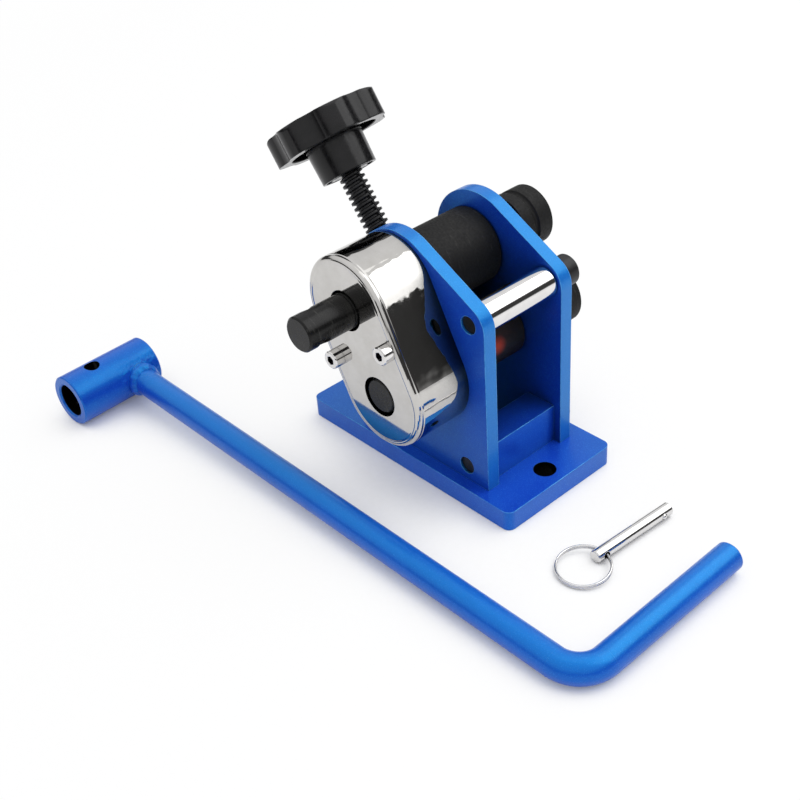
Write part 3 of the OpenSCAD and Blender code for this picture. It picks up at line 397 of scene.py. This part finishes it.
def black_metal(
    name, color, wear_and_edge_light, rough, metallic, level, stretch=EVEN_GRAIN, grit=0.12, rubbed=0.0, glow=None,
):
    """Blackened steel, lighter on its edges; it can have rubbed streaks and one painted red reflection."""
    edge_share, edge_tone = 0.5, 2.2
    smooth, coarse = 0.85, 1.2
    m = Material(name)
    grain = m.noise(scale=900, detail=3, rough=0.6, stretch=stretch)
    smear = m.noise(scale=70, detail=4, rough=0.65, stretch=stretch)
    tone = m.mix(m.span(smear, low=0.45, high=0.75, to_high=0.6), color, wear_and_edge_light)
    edge = m.edge_mask(radius=0.0005)
    tone = m.mix(m.times(edge, edge_share), tone, shade(wear_and_edge_light, edge_tone))
    if rubbed:
        rub = m.noise(scale=240, detail=5, rough=0.75, stretch=RUB_STREAKS)
        tone = m.mix(m.span(rub, low=0.56, high=0.70, to_high=rubbed), tone, RUBBED_STEEL)
    # A painted red reflection on one small spot of the roller.
    if glow:
        red_reflection = m.span(m.from_point(glow), low=0.0003, high=0.0062, to_low=0.75, to_high=0.0)
        tone = m.mix(red_reflection, tone, PAINTED_RED_REFLECTION)
    roughness = m.span(grain, low=0.3, high=0.7, to_low=rough * smooth, to_high=rough * coarse)
    normal = m.bump(grain, strength=grit, distance=0.0002, normal=m.soft_edge(radius=0.0005))
    return m.surface(
        Base_Color=tone, Metallic=metallic, Roughness=roughness, Normal=normal, Specular_IOR_Level=level,
    )


def plastic():
    """Moulded black plastic, nearly glossy."""
    m = Material("black_plastic")
    cloud = m.noise(scale=120, detail=3)
    tone = m.mix(m.span(cloud, low=0.35, high=0.7), PLASTIC_DARK, PLASTIC_LIGHT)
    skin = m.noise(scale=260, detail=3)
    normal = m.bump(skin, strength=0.08, distance=0.0003, normal=m.soft_edge(radius=0.0009))
    smear = m.noise(scale=600, detail=3)
    roughness = m.span(smear, low=0.35, high=0.75, to_low=0.16, to_high=0.27)
    return m.surface(Base_Color=tone, Roughness=roughness, Normal=normal, IOR=1.5, Specular_IOR_Level=0.32)


def turned_metal(name, light, dark, rough):
    """Plain turned metal with fine marks round it."""
    coarse = 1.4
    m = Material(name)
    rings = m.noise(scale=900, detail=3, rough=0.6, stretch=TURNING_MARKS)
    tone = m.mix(m.span(rings, low=0.35, high=0.7), light, dark)
    normal = m.bump(rings, strength=0.1, distance=0.0002, normal=m.soft_edge(radius=0.0004))
    roughness = m.span(rings, low=0.3, high=0.7, to_low=rough, to_high=rough * coarse)
    return m.surface(Base_Color=tone, Metallic=1.0, Roughness=roughness, Normal=normal)


def mount(name):
    """The place and axis of a mount in the part's record."""
    row = next(m for m in frame["record"]["mounts"] if m["name"] == name)
    return tuple(row["pos_m"]), tuple(row["axis"])


bench_holes = [((side * BENCH_HOLE_X, 0, 0), UPWARD, BENCH_HOLE_R) for side in (1, -1)]
socket_holes = [
    (*mount("crank_socket_bore"), SOCKET_BORE_R),
    (*mount("crank_pin_hole"), SOCKET_PIN_HOLE_R),
]

BLUE = blue_paint("blue_powder_coat", alone=False)
PLATE_BLUE = blue_paint("blue_plates", cut_edges=ACROSS, alone=False)
BASE_BLUE = blue_paint("blue_base", holes=bench_holes)
SOCKET_BLUE = blue_paint("blue_socket", holes=socket_holes, weld=WELD_POINT, rim=ROUND_RIM, lit=0.15)
BAR_BLUE = blue_paint("blue_bar", weld=WELD_POINT, rim=ROUND_RIM, lit=0.60)
CHROME = pressed_chrome()
BRIGHT = polished("bright_nickel", NICKEL, rough=0.05, wave=0.02, wave_scale=120)
ROLLER = black_metal(
    "roller_black", color=rgb(0.0068, 0.0068, 0.0070), wear_and_edge_light=rgb(0.0115, 0.011, 0.0105),
    rough=0.58, metallic=0.0, level=0.20, rubbed=0.12,
)
BROWN_ROLLER = black_metal(
    "roller_brown", color=rgb(0.012, 0.009, 0.008), wear_and_edge_light=rgb(0.060, 0.026, 0.018),
    rough=0.42, metallic=0.1, level=0.3, glow=RED_REFLECTION_POINT,
)
OXIDE = black_metal(
    "black_oxide", color=rgb(0.0060, 0.0060, 0.0060), wear_and_edge_light=rgb(0.020, 0.020, 0.018),
    rough=0.24, metallic=0.06, level=0.24, stretch=SHAFT_GRAIN, grit=0.03, rubbed=0.22,
)
SCREW_BLACK = black_metal(
    "black_screw", color=rgb(0.007, 0.007, 0.008), wear_and_edge_light=rgb(0.020, 0.020, 0.022),
    rough=0.38, metallic=0.05, level=0.35,
)
PLASTIC = plastic()
STEEL = turned_metal("plain_steel", light=rgb(0.50, 0.50, 0.52), dark=rgb(0.36, 0.36, 0.38), rough=0.28)
BRONZE = turned_metal("bronze", light=rgb(0.62, 0.36, 0.14), dark=rgb(0.45, 0.25, 0.10), rough=0.30)

FINISH = {
    BLUE: ["spacer_block"],
    PLATE_BLUE: ["front_side_plate", "rear_side_plate"],
    BASE_BLUE: ["base_plate"],
    SOCKET_BLUE: ["crank_socket"],
    BAR_BLUE: ["crank_bar"],
    CHROME: ["gear_cover"],
    BRIGHT: ["tie_bar", "cover_screws", "locking_pin", "detent_ball", "pull_ring"],
    ROLLER: [
        "upper_roller", "idler_roller",
        "upper_outer_roller", "lower_outer_roller", "idler_outer_roller",
    ],
    BROWN_ROLLER: ["lower_roller"],
    OXIDE: [
        "drive_shaft", "driven_shaft", "idler_shaft",
        "upper_end_washer", "lower_end_washer", "idler_end_washer",
        "upper_end_screw", "lower_end_screw", "idler_end_screw",
        "idler_yoke", "screw_nut_block", "knob_insert",
    ],
    SCREW_BLACK: [
        "adjusting_screw", "tie_bolts",
        "drive_gear_ring", "driven_gear_ring", "screw_retaining_ring",
    ],
    PLASTIC: ["knob"],
    STEEL: [
        "base_screws", "nut_block_screws", "cover_standoffs", "drive_gear", "driven_gear",
        "drive_keys", "driven_keys", "idler_keys", "detent_spring",
    ],
    BRONZE: [
        "drive_bush_front", "drive_bush_rear",
        "driven_bush_front", "driven_bush_rear",
        "idler_bush_front", "idler_bush_rear",
    ],
}
for material, names in FINISH.items():
    for name in names:
        mesh = nodes[name].data
        mesh.materials.clear()
        mesh.materials.append(material)


# Pieces with more detail than their solids, in millimetres
def mesh_object(name, points, faces, material, smooth_angle):
    """A piece from points in millimetres, shaded smooth up to the angle given in degrees."""
    mesh = bpy.data.meshes.new(name)
    mesh.from_pydata([tuple(p * MM) for p in points], [], faces)
    mesh.validate()
    mesh.materials.append(material)
    piece = bpy.data.objects.new(name, mesh)
    bpy.context.scene.collection.objects.link(piece)
    mesh.shade_smooth()
    mesh.set_sharp_from_angle(angle=math.radians(smooth_angle))
    return piece


def band_faces(rows, columns):
    """The faces between rows of points, each row closed on itself."""
    faces = []
    for r in range(rows - 1):
        low, high = r * columns, (r + 1) * columns
        for c in range(columns):
            n = (c + 1) % columns
            faces.append((low + c, low + n, high + n, high + c))
    return faces


def screw_point(r, angle, height):
    """A point in the adjusting screw's frame: the idler shaft at height 0, the knob above."""
    round_axis = IDLER_SHAFT + SCREW_SIDE * (r * math.cos(angle)) + ACROSS * (r * math.sin(angle))
    return round_axis + SCREW_UP * height


def threaded_screw():
    """The adjusting screw with its real helical thread between plain ends."""
    root_r, crest_r = 4.55, 6.3
    journal_r, journal_z = 4.0, 13.9
    neck_r, neck_z, neck_end = 4.5, 14.4, 0.2
    thread_z, thread_top_z = 23.2, 75.5
    head_r, head_top_z = 5.0, 95.3
    run_in, run_out, start = 0.3, 0.1, 0.55
    # The thread over one pitch: the share of the pitch and the radius there
    profile = [(0.15, root_r), (0.33, crest_r), (0.67, crest_r), (0.85, root_r)]
    steps = 56

    def plain_row(height, r):
        return [screw_point(r, -FULL_TURN * k / steps, height) for k in range(steps)]

    rows = [
        plain_row(journal_z, journal_r),
        plain_row(neck_z, neck_r),
        plain_row(thread_z - neck_end, neck_r),
        plain_row(thread_z - neck_end, root_r),
    ]
    for turn in range(-1, int((thread_top_z - thread_z) / SCREW_PITCH) + 2):
        for share, r in profile:
            row = []
            for k in range(steps):
                height = thread_z + (turn + share + start - k / steps) * SCREW_PITCH
                inside = thread_z + run_in < height < thread_top_z - run_out
                held = min(max(height, thread_z), thread_top_z)
                row.append(screw_point(r if inside else root_r, -FULL_TURN * k / steps, held))
            rows.append(row)
    rows += [plain_row(thread_top_z, head_r), plain_row(head_top_z, head_r)]
    points = [p for row in rows for p in row]
    faces = [tuple(reversed(face)) for face in band_faces(len(rows), steps)]
    faces.append(tuple(range(steps)))
    faces.append(tuple(reversed(range(len(points) - steps, len(points)))))
    return mesh_object("threaded_screw", points, faces, SCREW_BLACK, smooth_angle=30)


def tube(name, path, radii, sides, material, up_hint=UPWARD, closed=False):
    """A round tube along a path, its radius given at each point."""
    count = len(path)
    turns = [FULL_TURN * j / sides for j in range(sides)]
    points = []
    for k, place in enumerate(path):
        after = (k + 1) % count if closed else min(k + 1, count - 1)
        before = k - 1 if closed else max(k - 1, 0)
        ahead = (path[after] - path[before]).normalized()
        side = ahead.cross(up_hint).normalized()
        up = side.cross(ahead)
        points += [place + (side * math.cos(a) + up * math.sin(a)) * radii[k] for a in turns]
    faces = band_faces(count, sides)
    last = (count - 1) * sides
    if closed:
        faces += [(last + j, last + (j + 1) % sides, (j + 1) % sides, j) for j in range(sides)]
    else:
        faces.append(tuple(reversed(range(sides))))
        faces.append(tuple(range(last, last + sides)))
    return mesh_object(name, points, faces, material, smooth_angle=60)


def pin_point(x, y, z):
    """A point in the locking pin's frame: its butt end at the origin, its tip along y."""
    c, s = math.cos(PIN_TURN), math.sin(PIN_TURN)
    return PIN_BUTT + Vector((x * c + y * s, -x * s + y * c, z))


def split_ring():
    """The pull ring: two turns of one wire, side by side, with drawn-in ends."""
    wire_r, end_share = 0.6, 0.45
    ring_r, half_pitch, sag = 12.4, 0.54, 0.4
    step_start, step_share = 0.42, 0.16
    turns, steps, sides = 2, 192, 12
    first_angle = math.radians(205)
    drop = math.asin((PIN_R - 2 * wire_r) / (2 * ring_r))
    path = []
    for k in range(steps + 1):
        # The wire steps from one layer to the other half way along
        ease = min(1.0, max(0.0, (k / steps - step_start) / step_share))
        lift = (2 * ease * ease * (3 - 2 * ease) - 1) * half_pitch
        angle = turns * FULL_TURN * k / steps + first_angle
        flat = ring_r * math.sin(angle) - ring_r
        y = PIN_HOLE_Y + sag + flat * math.cos(drop) - lift * math.sin(drop)
        z = flat * math.sin(drop) + lift * math.cos(drop)
        path.append(pin_point(ring_r * math.cos(angle), y, z))
    radii = [wire_r] * len(path)
    radii[0] = radii[-1] = wire_r * end_share
    return tube("split_ring", path, radii, sides, BRIGHT)


def weld_bead():
    """The fillet weld where the crank's bar meets its socket, with low lumps on its upper side."""
    turn, sink = math.radians(0.67), math.radians(1.216)
    socket_middle = Vector((-161.198, -90.299, 13.75))
    socket_r, ring_r, stand_off = 13.75, 5.0, 0.9
    bead_r, ripple_r, upper_ripple_r, swell_r = 3.95, 0.06, 0.34, 0.12
    lumps, uneven, small_swell = 11, 2.2, 0.6
    lump_phase, swell_phase, small_phase = 0.4, 0.7, 2.1
    steps, sides = 180, 14
    along = Vector((math.cos(sink) * math.cos(turn), math.cos(sink) * math.sin(turn), -math.sin(sink)))
    across = Vector((-math.sin(turn), math.cos(turn), 0))
    up = along.cross(across)
    path, radii = [], []
    for k in range(steps):
        # Unevenly spaced lumps, and a slower swell of the whole bead
        a = FULL_TURN * k / steps
        ripple = 0.5 + 0.5 * math.sin(lumps * a + uneven * math.sin(2 * a + lump_phase))
        swell = math.sin(2 * a + swell_phase) + small_swell * math.sin(5 * a + small_phase)
        upper = max(0.0, math.sin(a + lump_phase)) ** 2
        radii.append(bead_r + (ripple_r + upper_ripple_r * upper) * ripple + swell_r * swell)
        reach = math.sqrt(socket_r ** 2 - (ring_r * math.sin(a)) ** 2)
        foot = socket_middle + along * (reach + stand_off)
        path.append(foot + across * (ring_r * math.cos(a)) + up * (ring_r * math.sin(a)))
    return tube("weld_bead", path, radii, sides, BAR_BLUE, up_hint=along, closed=True)


def coil_spring():
    """The spring behind the detent ball, wound of wire inside the pin's cross bore."""
    wire_r, steps, turns, sides = 0.14, 150, 5.5, 8
    low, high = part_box("detent_spring")
    middle = (Vector(low) + Vector(high)) / 2 / MM
    aim = Vector((math.cos(PIN_TURN), -math.sin(PIN_TURN), 0))
    side = Vector((math.sin(PIN_TURN), math.cos(PIN_TURN), 0))
    outer_r = (high[2] - low[2]) / 2 / MM
    half_l = ((high[0] - low[0]) / MM - 2 * outer_r * math.sin(PIN_TURN)) / 2 / math.cos(PIN_TURN)
    path = []
    for k in range(steps + 1):
        a = FULL_TURN * turns * k / steps
        place = (2 * k / steps - 1) * (half_l - wire_r)
        path.append(middle + aim * place + (side * math.cos(a) + UPWARD * math.sin(a)) * (outer_r - wire_r))
    piece = tube("coil_spring", path, [wire_r] * len(path), sides, STEEL, up_hint=aim)
    return piece, middle - aim * half_l, aim, 2 * half_l


screw = threaded_screw()
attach(screw, "adjuster")
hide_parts("adjusting_screw")

ring = split_ring()
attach(ring, "ring")
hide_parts("pull_ring")

weld = weld_bead()
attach(weld, "crank")

spring, seat, spring_axis, spring_l = coil_spring()
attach(spring, "pin")
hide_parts("detent_spring")
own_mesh(spring)


# Floor, world and lights
def floor_material():
    """A pale floor that fades to white away from the part and from its contact shadows."""
    shadow_white, open_white, mirrored_share = 0.10, 0.77, 0.35
    m = Material("pale_floor")
    diffuse = m.add("ShaderNodeBsdfDiffuse")
    speck = m.noise(scale=300, detail=2)
    m.feed(diffuse, Color=m.mix(m.span(speck, low=0.3, high=0.7), FLOOR_DARK, FLOOR_LIGHT))
    glow = m.add("ShaderNodeEmission")
    m.feed(glow, Color=WHITE, Strength=1.0)
    far = m.span(m.measure("LENGTH", m.coords), low=0.25, high=0.9, to_low=0.10)
    open_floor = m.crevice(distance=0.09, low=0.37, high=0.93)
    white = m.math("MAXIMUM", far, m.plus(shadow_white, m.times(open_floor, open_white)))
    paths = m.add("ShaderNodeLightPath")
    mirrored = m.times(paths.outputs["Is Glossy Ray"], mirrored_share)
    seen = m.math("MAXIMUM", paths.outputs["Is Camera Ray"], mirrored)
    m.mix_shaders(m.times(white, seen), diffuse, glow)
    return m.material


def make_floor():
    """A wide square just below the part, so that no two faces share a plane."""
    half, z = 6.0, -0.0002
    corners = [(-half, -half, z), (half, -half, z), (half, half, z), (-half, half, z)]
    mesh = bpy.data.meshes.new("floor")
    mesh.from_pydata(corners, [], [(0, 1, 2, 3)])
    mesh.materials.append(floor_material())
    piece = bpy.data.objects.new("floor", mesh)
    bpy.context.scene.collection.objects.link(piece)
    return piece


floor = make_floor()


def studio_world():
    """White to the camera; a bright tent over a dark band for light and reflections."""
    # Grey levels by height, from the horizon up
    levels = ((0.05, 0.60), (0.10, 0.05), (0.26, 0.05), (0.34, 0.80), (0.75, 0.95))
    blue_tint, wobble = 1.01, 0.16
    tall_side = (0.80, 0.60, 0)
    world = bpy.data.worlds.new("studio")
    m = Tree(world, "ShaderNodeOutputWorld", "Generated")
    split = m.fill(m.add("ShaderNodeSeparateXYZ"), m.coords)
    # The dark band stands taller towards one side
    side = m.measure("DOT_PRODUCT", m.coords, tall_side)
    narrow = m.span(side, low=0.2, high=0.8, to_low=1.0, to_high=0.45, curve="LINEAR")
    squeezed = m.times(split.outputs["Z"], narrow)
    height = m.math("MULTIPLY_ADD", m.noise(scale=1.6), wobble, squeezed)
    ramp = m.add("ShaderNodeValToRGB")
    stops = ramp.color_ramp.elements
    stops[0].position, stops[0].color = 0.0, HORIZON
    stops[1].position, stops[1].color = 1.0, WHITE
    for position, level in levels:
        stops.new(position).color = rgb(level, level, level * blue_tint)
    m.feed(ramp, Fac=height)
    light = m.add("ShaderNodeBackground")
    m.feed(light, Color=ramp.outputs["Color"], Strength=1.0)
    white = m.add("ShaderNodeBackground")
    m.feed(white, Color=WHITE, Strength=1.0)
    m.mix_shaders(m.add("ShaderNodeLightPath").outputs["Is Camera Ray"], light, white)
    return world


bpy.context.scene.world = studio_world()


def softbox(name, place, aim, width, height, radiance):
    """A rectangular lamp of the radiance given, seen only by its light and its reflection."""
    data = bpy.data.lights.new(name, "AREA")
    data.shape = "RECTANGLE"
    data.size = width
    data.size_y = height
    data.energy = radiance * math.pi * width * height
    lamp = bpy.data.objects.new(name, data)
    bpy.context.scene.collection.objects.link(lamp)
    lamp.location = place
    lamp.rotation_euler = (Vector(aim) - Vector(place)).to_track_quat("-Z", "Y").to_euler()
    lamp.visible_camera = False


softbox("back_softbox", place=(0.50, 0.72, 1.06), aim=(0, 0, 0.05), width=1.60, height=1.10, radiance=1.7)
softbox("top_softbox", place=(-0.15, 0.10, 1.5), aim=(0, 0, 0), width=0.8, height=0.8, radiance=0.5)


# Camera
def place_camera():
    """A camera at the photograph's angle, its turns in radians and its place in millimetres."""
    yaw, pitch, roll = 0.86633, 0.61813, -0.07789
    place = Vector((383.70, -362.42, 399.95)) * MM
    focal_px, image_px, sensor_mm = 1299.52, 800, 36.0
    near, far = 0.01, 50.0
    ahead = Vector((-math.sin(yaw) * math.cos(pitch), math.cos(yaw) * math.cos(pitch), -math.sin(pitch)))
    right = Vector((math.cos(yaw), math.sin(yaw), 0))
    up = right.cross(ahead)
    right_rolled = right * math.cos(roll) + up * math.sin(roll)
    up_rolled = up * math.cos(roll) - right * math.sin(roll)
    data = bpy.data.cameras.new("camera")
    data.sensor_width = sensor_mm
    data.lens = focal_px / image_px * sensor_mm
    data.clip_start = near
    data.clip_end = far
    camera = bpy.data.objects.new("camera", data)
    bpy.context.scene.collection.objects.link(camera)
    camera.matrix_world = Matrix((
        (right_rolled.x, up_rolled.x, -ahead.x, place.x),
        (right_rolled.y, up_rolled.y, -ahead.y, place.y),
        (right_rolled.z, up_rolled.z, -ahead.z, place.z),
        (0, 0, 0, 1),
    ))
    bpy.context.scene.camera = camera


place_camera()
bpy.context.scene.view_settings.view_transform = "Standard"
